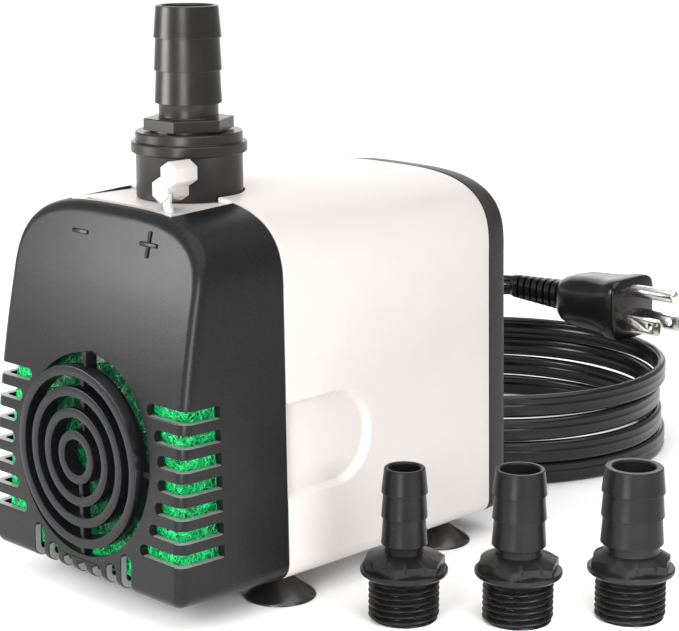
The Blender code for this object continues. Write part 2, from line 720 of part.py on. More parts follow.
def make_cord():
    gland = [
        (7.6, 0.0), (7.6, 2.0), (5.6, 2.2), (4.6, 24.0), (2.8, 24.0), (2.8, -18.0), (5.6, -18.0), (5.6, 0.0),
    ]
    turned("cord_gland", gland[::-1], (0, HALF_LENGTH + GAP, GLAND_Z), "rubber", axis=(0, 1, 0), steps=32)
    tube("cord_lead", LEAD_ROUTE, 32)
    inner, outer = COIL_RADII
    ring = [(outer, COIL_HEIGHT), (outer, 0.0), (inner, 0.0), (inner, COIL_HEIGHT)]
    turned("cord_coil", ring, (*COIL_CENTRE, 0), "cord_black", steps=64)
    tube("cord_tail", TAIL_ROUTE, 20)


def make_plug():
    """A moulded three-pin plug on the coil's rim, with its pins along +X."""
    rear, front = PLUG_REAR_X, PLUG_REAR_X + 33
    y_range, z_range = (PLUG_Y - 13, PLUG_Y + 13), (PLUG_Z - 12, PLUG_Z + 12)
    body = box("plug_body", (rear, front), y_range, z_range, "cord_black")
    bevel = body.modifiers.new("round_edges", "BEVEL")
    bevel.width = 5 * MM
    bevel.segments = 3
    relief = [(5.0, 0.0), (3.2, -27.0), (0.0, -27.0), (0.0, 0.0)]
    turned(
        "plug_strain_relief", [relief[-1], *relief[:-1]], (rear - GAP, PLUG_Y, PLUG_Z), "cord_black",
        axis=(1, 0, 0), steps=32,
    )
    for name, side in (("plug_blade_left", -1), ("plug_blade_right", 1)):
        y = PLUG_Y + side * 6.35
        box(name, (front + GAP, front + 18), (y - 0.75, y + 0.75), (PLUG_Z - 7.5, PLUG_Z - 1.2), "brass")
    pin_z = PLUG_Z + 7.0
    cylinder(
        "plug_ground_pin",
        2.4,
        (front + GAP, PLUG_Y, pin_z),
        (front + 20, PLUG_Y, pin_z),
        "brass",
        segments=24,
    )


# ---------------------------------------------------------------- assembly


MOVING = {
    "cover": ((0, COVER_SEAM_Y, GRILLE_Z), ("front_cover", "filter_sponge")),
    "rotor": ((0, 0, AXIS_Z), ("rotor_magnet", "impeller")),
    "lever": ((20.2, -51.6, 128), ("flow_lever",)),
    "adapter": ((0, OUTLET_Y, 130), ("outlet_adapter", "outlet_gasket")),
    **{name.replace("_adapter", ""): ((*place, 0), (name,)) for name, _, _, place in SPARE_ADAPTERS},
}


def group_parts():
    """Parents each moving piece to an empty on its joint axis, and the rest to one empty at the origin."""
    bpy.context.view_layer.update()
    loose = {item.name: item for item in PARTS.objects}
    for group, (place, names) in MOVING.items():
        hang(group, place, [loose.pop(name) for name in names])
    hang("pump", (0, 0, 0), loose.values())


def hang(group, place, items):
    empty = bpy.data.objects.new(group, None)
    PARTS.objects.link(empty)
    empty.location = Vector(place) * MM
    bpy.context.view_layer.update()
    for item in items:
        item.parent = empty
        item.matrix_parent_inverse = empty.matrix_world.inverted()


make_front_cover()
make_filter_sponge()
make_motor_housing()
make_rear_cover()
make_suction_cups()
make_rotor_well()
make_stator()
make_potting_resin()
make_rotor()
make_shaft()
make_pump_chamber()
make_chamber_cover()
make_outlet_collar()
make_outlet_adapter()
make_flow_lever()
make_spare_adapters()
make_cord()
make_plug()
group_parts()
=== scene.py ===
"""Looks of the fountain submersible pump: fine meshes, materials, floor, lights and camera.

Sizes are in millimetres, as in the part's own source, and the helpers turn them into metres.
"""

import math
import random

import bmesh
import bpy
import numpy as np
from mathutils import Matrix, Vector


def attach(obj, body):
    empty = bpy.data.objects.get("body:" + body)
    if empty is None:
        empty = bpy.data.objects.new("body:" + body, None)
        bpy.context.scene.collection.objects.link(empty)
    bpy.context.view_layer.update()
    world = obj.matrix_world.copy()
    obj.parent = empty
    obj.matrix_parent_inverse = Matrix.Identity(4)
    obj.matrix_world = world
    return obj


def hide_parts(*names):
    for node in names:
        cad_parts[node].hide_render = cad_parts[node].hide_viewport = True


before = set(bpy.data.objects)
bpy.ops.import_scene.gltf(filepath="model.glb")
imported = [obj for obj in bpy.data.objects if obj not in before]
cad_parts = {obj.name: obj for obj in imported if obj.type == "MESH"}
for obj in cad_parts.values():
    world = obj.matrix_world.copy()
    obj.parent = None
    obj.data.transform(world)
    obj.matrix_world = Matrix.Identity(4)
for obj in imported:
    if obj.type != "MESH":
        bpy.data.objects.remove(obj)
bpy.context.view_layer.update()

MM = 0.001

# Body outline, as in the part.
HALF_LENGTH = 70.5
HALF_WIDTH = 46.0
HALF_WIDTH_HIGH = 44.2
BASE_Z = 7.6
SHOULDER_Z = 92.0
CROWN_Z = 119.0
CROWN_POWER = 3.2
BOTTOM_RADIUS = 6.0
COVER_SEAM_Y = -29.8
HOUSING_FRONT_Y = -29.5
HOUSING_REAR_Y = 60.8
REAR_COVER_Y = 61.1
FRONT_DRAFT = 1.2
REAR_DRAFT = 1.0
FRONT_LEAN = 15.0
FRONT_EDGE_RADIUS = 3.6
COVER_WALL = 2.5
HOUSING_WALL = 4.2
MOTOR_WALL_Y = -8.0

# Strainer.
NOTCH_HALF_WIDTH = 23.0
NOTCH_FRONT_Y = -53.3
GRILLE_Z = 45.3
GRILLE_OPENING = 29.8
RING_RADII = ((5.3, 8.1), (11.8, 14.7), (18.1, 21.0), (24.3, 27.2))
RING_FRONT_Y = -71.6
RING_DEPTH = 5.0
BAR_Y = (-68.5, -67.0)
SLOT_COUNT = 7
SLOT_Z = 43.8
SLOT_PITCH = 6.75
SLOT_HEIGHT = 3.6
SLOT_END_RADIUS = 33.6
SLOT_REAR_Y = -54.2
LOW_SLOT_PITCH = 6.8
LOW_SLOT_WIDTH = 4.5
LOW_SLOT_REACH = 32.2

# Outlet.
OUTLET_Y = -26.1
COLLAR_Z = (117.3, 136.6)
THREAD_RADIUS = 10.3
THREAD_PITCH = 1.814
HEX_TOP = 140.5
BARB_TOP = 173.2
OUTLET_BORE = 7.6
KNOB_Y = (-51.6, -43.4)
SPARE_ADAPTERS = (
    ("small", 6.7, 4.6, (74.3, -11.2)),
    ("medium", 7.85, 5.7, (98.7, 10.9)),
    ("large", 9.15, 6.2, (120.2, 35.8)),
)

# Cord: flat, three cores side by side.
CORD_WIDTH = 8.0
CORD_THICK = 3.2
COIL_CENTRE = (-32.0, 150.0)
COIL_RADIUS = 63.75
COIL_START = 145.0
COIL_TURNS = 3.9028
LAYER_PITCH = 8.2
PLUG_REAR_X = -35.0
PLUG_Y = 199.0
PLUG_Z = 47.0
LEAD_ROUTE = (
    (0, 95.3, 84), (-2, 108, 82), (-11, 121, 71), (-25, 131, 53), (-40, 139, 34),
    (-55, 147, 17), (-68, 157, 6), (-76, 170, 3.2), (-78, 183, 4.0),
)
TAIL_ROUTE = (
    (-95.6, 150, 36.9), (-95.3, 161, 37.3), (-92.2, 174, 38.6), (-86, 184.5, 41), (-77, 193.2, 44.2),
    (-69, 197.9, 46.3), (-63.2, 199, 47),
)


# ---------------------------------------------------------------- camera, floor and light


def make_camera():
    camera = bpy.data.objects.new("camera", bpy.data.cameras.new("camera"))
    bpy.context.scene.collection.objects.link(camera)
    camera.location = (0.4473, -0.4119, 0.2130)
    camera.rotation_euler = (math.radians(77.3), 0.0, math.radians(44.9))
    camera.data.lens = 106.0
    camera.data.sensor_width = 36.0
    camera.data.clip_start = 0.01
    camera.data.clip_end = 20.0
    bpy.context.scene.camera = camera


def make_floor():
    bm = bmesh.new()
    bmesh.ops.create_circle(bm, cap_ends=True, segments=96, radius=6.0)
    mesh = bpy.data.meshes.new("floor")
    bm.to_mesh(mesh)
    bm.free()
    floor = bpy.data.objects.new("floor", mesh)
    bpy.context.scene.collection.objects.link(floor)
    made = bpy.data.materials.new("floor")
    made.use_nodes = True
    shader = made.node_tree.nodes["Principled BSDF"]
    shader.inputs["Base Color"].default_value = (0.97, 0.97, 0.97, 1.0)
    shader.inputs["Roughness"].default_value = 0.6
    mesh.materials.append(made)


def make_light(name, place, target, size, glow):
    """A soft box seen only by the object. Its glow is its brightness, whatever its size."""
    light = bpy.data.lights.new(name, "AREA")
    light.shape = "RECTANGLE"
    light.size, light.size_y = size
    light.energy = math.pi * glow * size[0] * size[1]
    item = bpy.data.objects.new(name, light)
    bpy.context.scene.collection.objects.link(item)
    item.location = place
    item.rotation_euler = (Vector(target) - Vector(place)).to_track_quat("-Z", "Y").to_euler()
    item.visible_camera = False


def make_studio():
    """An even white surround, a broad ceiling light and soft boxes that show as streaks in the plastics."""
    scene = bpy.context.scene
    scene.view_settings.view_transform = "Standard"
    world = bpy.data.worlds.new("studio")
    scene.world = world
    world.use_nodes = True
    world.node_tree.nodes["Background"].inputs["Color"].default_value = (1.0, 1.0, 1.0, 1.0)
    world.node_tree.nodes["Background"].inputs["Strength"].default_value = 0.43
    ceiling = bpy.data.lights.new("ceiling", "SUN")
    ceiling.energy = 2.35
    ceiling.angle = math.radians(75)
    item = bpy.data.objects.new("ceiling", ceiling)
    scene.collection.objects.link(item)
    item.rotation_euler = (math.radians(8), math.radians(14), 0.0)
    make_light("left", (-0.212, -0.325, 0.172), (0, -0.05, 0.12), (0.17, 0.14), 17.0)
    make_light("front", (0.1855, -0.323, 0.125), (0, -0.03, 0.14), (0.12, 0.2), 12.5)
    make_light("low", (0.195, -0.012, 0.07), (0.195, -0.012, 0.0), (0.09, 0.07), 12.0)
    make_light("back", (-0.9, 0.85, 0.6), (0, 0, 0.11), (1.4, 1.1), 1.4)


# ---------------------------------------------------------------- materials


def finish(name, colour, roughness, metallic=0.0, grain=0.0, grain_size=0.45, mottle=0.12, wear=0.06,
           specular=0.5):
    """Moulded plastic, rubber or metal: grain in the surface, and slow changes in shade and gloss."""
    made = bpy.data.materials.new(name)
    made.use_nodes = True
    nodes, links = made.node_tree.nodes, made.node_tree.links
    shader = nodes["Principled BSDF"]
    shader.inputs["Metallic"].default_value = metallic
    shader.inputs["Specular IOR Level"].default_value = specular
    place = nodes.new("ShaderNodeTexCoord")

    def noise_map(size, detail):
        texture = nodes.new("ShaderNodeTexNoise")
        texture.inputs["Scale"].default_value = 1.0 / (size * MM)
        texture.inputs["Detail"].default_value = detail
        links.new(place.outputs["Object"], texture.inputs["Vector"])
        return texture.outputs["Fac"]

    def spread(source, low, high):
        reach = nodes.new("ShaderNodeMapRange")
        reach.inputs["From Min"].default_value = 0.3
        reach.inputs["From Max"].default_value = 0.7
        reach.inputs["To Min"].default_value = low
        reach.inputs["To Max"].default_value = high
        links.new(source, reach.inputs["Value"])
        return reach.outputs["Result"]

    slow = noise_map(14.0, 3.0)
    fine = noise_map(grain_size, 2.0)
    shade = nodes.new("ShaderNodeMix")
    shade.data_type = "RGBA"
    shade.inputs["A"].default_value = (*[c * (1 - mottle) for c in colour], 1.0)
    shade.inputs["B"].default_value = (*[min(c * (1 + mottle), 1.0) for c in colour], 1.0)
    links.new(spread(fine if grain else slow, 0.0, 1.0), shade.inputs["Factor"])
    links.new(shade.outputs["Result"], shader.inputs["Base Color"])
    links.new(spread(slow, roughness - wear, roughness + wear), shader.inputs["Roughness"])
    if grain:
        bump = nodes.new("ShaderNodeBump")
        bump.inputs["Strength"].default_value = 0.7
        bump.inputs["Distance"].default_value = grain * MM
        links.new(fine, bump.inputs["Height"])
        links.new(bump.outputs["Normal"], shader.inputs["Normal"])
    return made


CHARCOAL = finish("charcoal_plastic", (0.012, 0.012, 0.0122), 0.3, grain=0.035, grain_size=0.5, mottle=0.3,
                  wear=0.015, specular=0.17)
CHARCOAL_SMOOTH = finish("charcoal_smooth", (0.008, 0.008, 0.009), 0.3, mottle=0.1, specular=0.2)
CHARCOAL_GLOSS = finish("charcoal_gloss", (0.006, 0.006, 0.007), 0.17, mottle=0.1, wear=0.03, specular=0.5)
# Light grey painted light for the slot floors and the low slots' walls: the cover's own charcoal, painted
# as if lit.
CHARCOAL_PAINTED_LIGHT = finish("charcoal_painted_light", (0.24, 0.24, 0.24), 0.3, mottle=0.05)
REAR_GREY = finish("rear_grey", (0.026, 0.024, 0.0235), 0.42, grain=0.05, grain_size=0.6, specular=0.3)
WHITE = finish("white_plastic", (0.655, 0.605, 0.573), 0.38, mottle=0.012, wear=0.03, specular=0.4)
LEVER_WHITE = finish("lever_white", (0.56, 0.524, 0.492), 0.4, mottle=0.02, wear=0.03)
OUTLET_BLACK = finish("outlet_black", (0.016, 0.0145, 0.013), 0.30, mottle=0.1, wear=0.03, specular=0.32)
ADAPTER_BLACK = finish("adapter_black", (0.008, 0.008, 0.008), 0.3, mottle=0.1, wear=0.03, specular=0.2)
RUBBER = finish("rubber", (0.010, 0.010, 0.010), 0.28, mottle=0.1, wear=0.04, specular=0.7)
CORD_BLACK = finish("cord_black", (0.004, 0.004, 0.004), 0.24, mottle=0.1, wear=0.05, specular=0.4)
BRASS = finish("nickel_brass", (0.83, 0.80, 0.74), 0.22, metallic=1.0, grain=0.01, grain_size=0.8,
               mottle=0.04)
IRON = finish("iron", (0.33, 0.33, 0.34), 0.45, metallic=0.9, grain=0.03, grain_size=0.3)
COPPER = finish("copper", (0.68, 0.30, 0.13), 0.33, metallic=1.0, grain=0.03, grain_size=0.5)
NYLON = finish("nylon", (0.72, 0.69, 0.60), 0.45, mottle=0.04)
RESIN = finish("resin", (0.05, 0.045, 0.04), 0.3)
FERRITE = finish("ferrite", (0.08, 0.08, 0.085), 0.5, grain=0.02, grain_size=0.3)
CERAMIC = finish("ceramic", (0.82, 0.81, 0.77), 0.25, mottle=0.03)


def fibre_material(name, dark, light):
    """Green fibre whose shade changes from strand to strand."""
    made = bpy.data.materials.new(name)
    made.use_nodes = True
    nodes, links = made.node_tree.nodes, made.node_tree.links
    shader = nodes["Principled BSDF"]
    shader.inputs["Roughness"].default_value = 0.42
    place = nodes.new("ShaderNodeTexCoord")
    texture = nodes.new("ShaderNodeTexNoise")
    texture.inputs["Scale"].default_value = 1.0 / (1.6 * MM)
    ramp = nodes.new("ShaderNodeValToRGB")
    ramp.color_ramp.elements[0].position = 0.32
    ramp.color_ramp.elements[0].color = (*dark, 1.0)
    ramp.color_ramp.elements[1].position = 0.68
    ramp.color_ramp.elements[1].color = (*light, 1.0)
    links.new(place.outputs["Object"], texture.inputs["Vector"])
    links.new(texture.outputs["Fac"], ramp.inputs["Fac"])
    links.new(ramp.outputs["Color"], shader.inputs["Base Color"])
    return made


# The fibre's own vivid green, made brighter than it is as painted light for the strands deep in the slots.
PAINTED_LIGHT_FIBRE = fibre_material("filter_fibre", (0.0, 0.34, 0.09), (0.03, 0.95, 0.30))
# Dark green painted shade for the strands behind the grille: the same fibre, darkened as if in the rings'
# shadow.
PAINTED_SHADE_FIBRE = fibre_material("filter_painted_shade_fibre", (0.0, 0.05, 0.015), (0.005, 0.26, 0.08))
# Much darker green than the strands, as painted shade under and between them.
PAINTED_SHADE_PAD = fibre_material("filter_pad", (0.0, 0.025, 0.008), (0.0, 0.12, 0.035))


# ---------------------------------------------------------------- mesh helpers


def piece(name, mesh, body, nodes=(), material=None, sharp=32.0, extra=()):
    """Adds a finished mesh as a piece that rides on a body and stands for CAD nodes."""
    mesh.name = name
    if sharp:
        mesh.shade_smooth()
        mesh.set_sharp_from_angle(angle=math.radians(sharp))
    mesh.materials.clear()
    for surface in (material, *extra):
        mesh.materials.append(surface)
    item = bpy.data.objects.new(name, mesh)
    bpy.context.scene.collection.objects.link(item)
    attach(item, body)
    if nodes:
        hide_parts(*nodes)
    return item


def mesh_from(bm):
    mesh = bpy.data.meshes.new("mesh")
    bm.to_mesh(mesh)
    bm.free()
    return mesh


def bridge_rows(bm, rows):
    """Faces between each row of vertices and the next, each row a closed loop."""
    for near, far in zip(rows, rows[1:]):
        for i in range(len(near)):
            j = (i + 1) % len(near)
            bm.faces.new((near[i], near[j], far[j], far[i]))


def grid_mesh(rows, endless=False):
    """A closed surface through rows of matching points in millimetres, each row a closed loop.

    An endless one runs from its last row back to its first; otherwise both ends are capped.
    """
    bm = bmesh.new()
    made = [[bm.verts.new(Vector(point) * MM) for point in row] for row in rows]
    if endless:
        bridge_rows(bm, made + made[:1])
    else:
        bridge_rows(bm, made)
        for row in (made[0], made[-1]):
            bm.faces.new(row)
    bmesh.ops.recalc_face_normals(bm, faces=bm.faces[:])
    return mesh_from(bm)


def body_loft(loops):
    """Joins loops given as right halves, upwards from the underside. Both ends are closed by strips."""
    bm = bmesh.new()
    rows = []
    for loop in loops:
        right = [bm.verts.new(Vector(point) * MM) for point in loop]
        left = [bm.verts.new(Vector((-x, y, z)) * MM) for x, y, z in loop[:-1]]
        rows.append(right + left[::-1])
    bridge_rows(bm, rows)
    top = len(loops[0]) - 1
    for row in (rows[0], rows[-1]):
        for i in range(top - 1):
            bm.faces.new((row[i], row[i + 1], row[-2 - i], row[-1 - i]))
        bm.faces.new((row[top - 1], row[top], row[top + 1]))
    bmesh.ops.recalc_face_normals(bm, faces=bm.faces[:])
    return mesh_from(bm)


def scratch(mesh):
    item = bpy.data.objects.new("scratch", mesh)
    bpy.context.scene.collection.objects.link(item)
    return item


def evaluated(item):
    """The mesh of an object with its modifiers applied. The object is removed."""
    graph = bpy.context.evaluated_depsgraph_get()
    mesh = bpy.data.meshes.new_from_object(item.evaluated_get(graph))
    bpy.data.objects.remove(item, do_unlink=True)
    return mesh


def combined(mesh, tools, operation="DIFFERENCE"):
    """Cuts the tool meshes from a mesh, or joins them to it."""
    item = scratch(mesh)
    helpers = [scratch(tool) for tool in tools]
    for helper in helpers:
        modifier = item.modifiers.new("boolean", "BOOLEAN")
        modifier.operation = operation
        modifier.solver = "EXACT"
        modifier.object = helper
    made = evaluated(item)
    for helper in helpers:
        bpy.data.objects.remove(helper, do_unlink=True)
    return made


def bevelled(mesh, width):
    """Rounds the sharp edges of a mesh."""
    item = scratch(mesh)
    modifier = item.modifiers.new("bevel", "BEVEL")
    modifier.width = width * MM
    modifier.segments = 2
    modifier.limit_method = "ANGLE"
    modifier.angle_limit = math.radians(40)
    modifier.use_clamp_overlap = False
    return evaluated(item)


def evened(mesh):
    """Shading normals that follow the large faces, so that cuts leave no waves round them."""
    mesh.shade_smooth()
    mesh.set_sharp_from_angle(angle=math.radians(32))
    item = scratch(mesh)
    modifier = item.modifiers.new("normals", "WEIGHTED_NORMAL")
    modifier.keep_sharp = True
    modifier.weight = 100
    return evaluated(item)


def box_mesh(x_range, y_range, z_range, turn=None):
    bm = bmesh.new()
    size = Vector((x_range[1] - x_range[0], y_range[1] - y_range[0], z_range[1] - z_range[0]))
    centre = Vector((sum(x_range), sum(y_range), sum(z_range))) / 2
    place = Matrix.Translation(centre * MM) @ Matrix.Diagonal((*(size * MM), 1.0))
    bmesh.ops.create_cube(bm, size=1.0, matrix=(turn or Matrix.Identity(4)) @ place)
    return mesh_from(bm)


def rod_mesh(radius, start, end, segments=96):
    bm = bmesh.new()
    start, end = Vector(start) * MM, Vector(end) * MM
    turn = Vector((0, 0, 1)).rotation_difference((end - start).normalized()).to_matrix().to_4x4()
    bmesh.ops.create_cone(
        bm, cap_ends=True, segments=segments, radius1=radius * MM, radius2=radius * MM,
        depth=(end - start).length, matrix=Matrix.Translation((start + end) / 2) @ turn,
    )
    return mesh_from(bm)


def prism_mesh(outline, depth_range):
    """An outline of (across, up) points extruded along Y."""
    return grid_mesh([[(across, depth, up) for across, up in outline] for depth in depth_range])


def lathe_rows(profile, centre, steps):
    """Rows round a vertical axis for (radius, height) points. Either may be a function of the angle."""
    rows = []
    for radius, height in profile:
        row = []
        for i in range(steps):
            angle = math.tau * i / steps
            r = radius(angle) if callable(radius) else radius
            z = height(angle) if callable(height) else height
            row.append((centre[0] + r * math.cos(angle), centre[1] + r * math.sin(angle), z))
        rows.append(row)
    return rows


def lathe_mesh(profile, centre=(0.0, 0.0), steps=96, closed=True):
    """A turned mesh. A closed profile is a ring with a bore; an open one is capped at both ends."""
    return grid_mesh(lathe_rows(profile, centre, steps), endless=closed)


def turned_over(mesh, place, axis):
    """Moves a mesh turned about Z so that it runs along an axis from a place in millimetres."""
    turn = Vector((0, 0, 1)).rotation_difference(Vector(axis)).to_matrix().to_4x4()
    mesh.transform(Matrix.Translation(Vector(place) * MM) @ turn)
    return mesh


def arc(centre, radius, start, end, count):
    """Points on an arc, with angles in degrees."""
    return [
        (centre[0] + radius * math.cos(math.radians(a)), centre[1] + radius * math.sin(math.radians(a)))
        for a in np.linspace(start, end, count)
    ]


def rounded_ring(inner, outer, low, high, edge=0.3):
    """Closed (radius, height) profile of a ring with small chamfers, outer side first."""
    return [
        (outer, low + edge), (outer, high - edge), (outer - edge * 0.3, high - edge * 0.3),
        (outer - edge, high),
        (inner + edge, high), (inner + edge * 0.3, high - edge * 0.3), (inner, high - edge),
        (inner, low + edge), (inner + edge, low), (outer - edge, low),
    ]


# ---------------------------------------------------------------- body outline


def body_half(inset, side_z=(), crown_z=CROWN_Z, base_z=BASE_Z):
    """Right half of the body's section, from the underside up to the crown, drawn in by inset."""
    wide, high = HALF_WIDTH - inset, HALF_WIDTH_HIGH - inset
    base, crown = base_z + inset, crown_z - inset
    radius = max(BOTTOM_RADIUS - inset, 1.5)
    points = arc((wide - radius, base + radius), radius, -90, 0, 9)
    shoulder = min(SHOULDER_Z, crown - 12)
    foot = base + radius
    for z in side_z:
        share = (z - foot) / (shoulder - foot)
        points.append((wide + (high - wide) * share, z))
    for a in range(0, 91, 3):
        across = math.cos(math.radians(a)) ** (2 / CROWN_POWER) if a < 90 else 0.0
        rise = math.sin(math.radians(a)) ** (2 / CROWN_POWER)
        points.append((high * across, shoulder + (crown - shoulder) * rise))
    return points


def front_y(z):
    """The front face is upright near the floor and leans back further up."""
    return -HALF_LENGTH + FRONT_LEAN * max((z - BASE_Z) / (CROWN_Z - BASE_Z), 0.0) ** 2


def front_loops(inset, back_y, radius, setback=0.0, steps=7, **limits):
    side_z = [SLOT_Z + SLOT_PITCH * (i - 3.5) for i in range(10 if not limits else 7)]
    loops = [[(x, back_y, z) for x, z in body_half(inset, side_z, **limits)]]
    for turn in np.linspace(0, math.pi / 2, steps):
        narrow = inset + FRONT_DRAFT + radius * (1 - math.cos(turn))
        depth = inset + setback + radius * (1 - math.sin(turn))
        loops.append([(x, front_y(z) + depth, z) for x, z in body_half(narrow, side_z, **limits)])
    return loops


# ---------------------------------------------------------------- strainer cover


def slot_tools():
    """Cutters for the slots that wrap the front corners and for those under the grille."""
    tools = []
    half = SLOT_HEIGHT / 2
    for i in range(SLOT_COUNT):
        z = SLOT_Z + (i - SLOT_COUNT // 2) * SLOT_PITCH
        reach = math.sqrt(SLOT_END_RADIUS**2 - (z - SLOT_Z) ** 2)
        outline = [(HALF_WIDTH + 5, z - half), (HALF_WIDTH + 5, z + half)]
        outline += arc((reach + half, z), half, 90, 270, 9)
        for side in (1, -1):
            placed = [(side * x, up) for x, up in outline]
            tools.append(prism_mesh(placed, (-HALF_LENGTH - 5, SLOT_REAR_Y)))
    half = LOW_SLOT_WIDTH / 2
    for i in range(SLOT_COUNT):
        x = (i - SLOT_COUNT // 2) * LOW_SLOT_PITCH
        top = GRILLE_Z - math.sqrt(LOW_SLOT_REACH**2 - x**2)
        low = BASE_Z - 3
        outline = [(x + half, low)] + arc((x, top - half), half, 0, 180, 9) + [(x - half, low)]
        tools.append(prism_mesh(outline, (-HALF_LENGTH - 5, -63.0)))
    return tools


def is_painted_lit_slot_wall(face):
    """The floors of the wrapped slots and the upright walls of the low ones, which get a light grey as
    painted light.
    """
    x, y, z = face.center / MM
    if y > SLOT_REAR_Y or z > 70.0:
        return False
    if abs(x) > 25.0:
        return face.normal.z > 0.9 and z > 16.0 and y > front_y(z) + 0.35
    return abs(face.normal.x) > 0.95 and z < 22.0 and y < -64.0


def joined(meshes):
    """Several meshes as one, without a boolean."""
    bm = bmesh.new()
    for mesh in meshes:
        bm.from_mesh(mesh)
    return mesh_from(bm)


def make_cover():
    shell = body_loft(front_loops(0.0, COVER_SEAM_Y, FRONT_EDGE_RADIUS, steps=9))
    hollow = body_loft(front_loops(COVER_WALL, COVER_SEAM_Y + 2, FRONT_EDGE_RADIUS - COVER_WALL))
    notch = box_mesh((-NOTCH_HALF_WIDTH, NOTCH_HALF_WIDTH), (NOTCH_FRONT_Y, COVER_SEAM_Y + 2), (105, 125))
    eye = rod_mesh(GRILLE_OPENING, (0, -76, GRILLE_Z), (0, -58, GRILLE_Z))
    shell = combined(shell, [hollow, notch, eye, joined(slot_tools())])
    shell = evened(bevelled(shell, 0.28))
    cover = piece("cover_shell", shell, "cover", ["front_cover"], CHARCOAL, sharp=0,
                  extra=[CHARCOAL_PAINTED_LIGHT])
    # Slot floors and low slot walls get the light grey of painted light.
    for face in cover.data.polygons:
        face.material_index = int(is_painted_lit_slot_wall(face))
    make_grille()
    make_marks()


def make_grille():
    """Four proud rings on four spokes that reach back to the leaning face."""
    for number, (inner, outer) in enumerate(RING_RADII):
        ring = lathe_mesh(rounded_ring(inner, outer, -RING_DEPTH, 0.0, 0.25), steps=96)
        turned_over(ring, (0, RING_FRONT_Y, GRILLE_Z), (0, -1, 0))
        made = piece(f"grille_ring_{number + 1}", ring, "cover", (), CHARCOAL_SMOOTH,
                     extra=[CHARCOAL_GLOSS])
        for face in made.data.polygons:
            face.material_index = int(abs(face.normal.y) < 0.9)
    spokes = []
    for angle, reach, y_range in (
        (0, (7.0, 31.0), BAR_Y), (180, (7.0, 31.0), BAR_Y), (90, (7.0, 23.0), BAR_Y),
        (90, (22.5, 30.7), (-67.4, -63.4)), (270, (7.0, 30.8), (-70.0, -67.3)),
    ):
        turn = Matrix.Translation((0, 0, GRILLE_Z * MM)) @ Matrix.Rotation(-math.radians(angle), 4, "Y")
        spokes.append(box_mesh(reach, y_range, (-0.9, 0.9), turn))
    piece("grille_spokes", bevelled(joined(spokes), 0.2), "cover", (), CHARCOAL_SMOOTH)


def make_marks():
    """Raised minus and plus marks that lie on the leaning face."""
    bars = [((-15.5, -8.5), (108.2, 109.4)), ((15.3, 22.7), (108.2, 109.4)), ((18.4, 19.6), (105.1, 112.5))]
    meshes = []
    for (x0, x1), (z0, z1) in bars:
        rows = []
        for lift in (-0.3, 0.45):
            rows.append([(x, front_y(z) - lift, z) for x, z in ((x0, z0), (x1, z0), (x1, z1), (x0, z1))])
        meshes.append(grid_mesh(rows))
    plus = combined(meshes[1], [meshes[2]], "UNION")
    piece("mark_minus", bevelled(meshes[0], 0.15), "cover", (), CHARCOAL_SMOOTH)
    piece("mark_plus", bevelled(plus, 0.15), "cover", (), CHARCOAL_SMOOTH)


# ---------------------------------------------------------------- filter


FILTER_BACK_Y = -53.6
PAD_FRONT = COVER_WALL + FRONT_DRAFT + 0.8
PAD_CORNER = 2.5
PAD_Z = (12.4, 72.0)
STRAND_SIDES = 3
STRAND_STEPS = (-1, -0.5, 0, 0.5, 1)


def make_filter():
    inset = COVER_WALL + FRONT_DRAFT + 0.6
    pad = body_loft(front_loops(inset, FILTER_BACK_Y, 2.0, 0.2, crown_z=78.0 + inset))
    # The pad gets the dark green of painted shade.
    piece("filter_pad", pad, "cover", ["filter_sponge"], PAINTED_SHADE_PAD)
    rng = random.Random(11)
    strands = []
    for side in (1, -1):
        strands += [(side * rng.uniform(21.0, 52.5), rng.uniform(19.0, 69.0)) for _ in range(2500)]
    strands += [(rng.uniform(-25.0, 25.0), rng.uniform(12.6, 22.0)) for _ in range(500)]
    strands = [(along, z) for along, z in strands if math.hypot(along, z - GRILLE_Z) > 28.0]
    # Strands by the slots get the brightened green, partly the fibre's own colour and partly painted light.
    piece("filter_fibres", fibre_mesh(strands, rng), "cover", (), PAINTED_LIGHT_FIBRE, sharp=80.0)
    shaded = []
    for _ in range(1500):
        angle, reach = rng.uniform(0, math.tau), 29.0 * math.sqrt(rng.uniform(0.0, 1.0))
        shaded.append((reach * math.cos(angle), GRILLE_Z + reach * math.sin(angle)))
    # The strands behind the grille get the dark green of painted shade.
    piece("filter_middle", fibre_mesh(shaded, rng), "cover", (), PAINTED_SHADE_FIBRE, sharp=80.0)


def pad_place(along, z, out):
    """A place just off the pad. Along runs round its corners from the middle of the front."""
    side = 1 if along > 0 else -1
    width = HALF_WIDTH - 5.3 - (HALF_WIDTH - HALF_WIDTH_HIGH) * (z - BASE_Z) / (SHOULDER_Z - BASE_Z)
    front = front_y(z) + PAD_FRONT
    flat = width - PAD_CORNER
    past = abs(along) - flat
    if past <= 0:
        return Vector((along, front - out, z))
    turn = min(past / PAD_CORNER, math.pi / 2)
    reach = PAD_CORNER + out
    x = flat + reach * math.sin(turn)
    y = front + PAD_CORNER - reach * math.cos(turn) + max(past - PAD_CORNER * math.pi / 2, 0.0)
    return Vector((side * x, min(y, FILTER_BACK_Y), z))


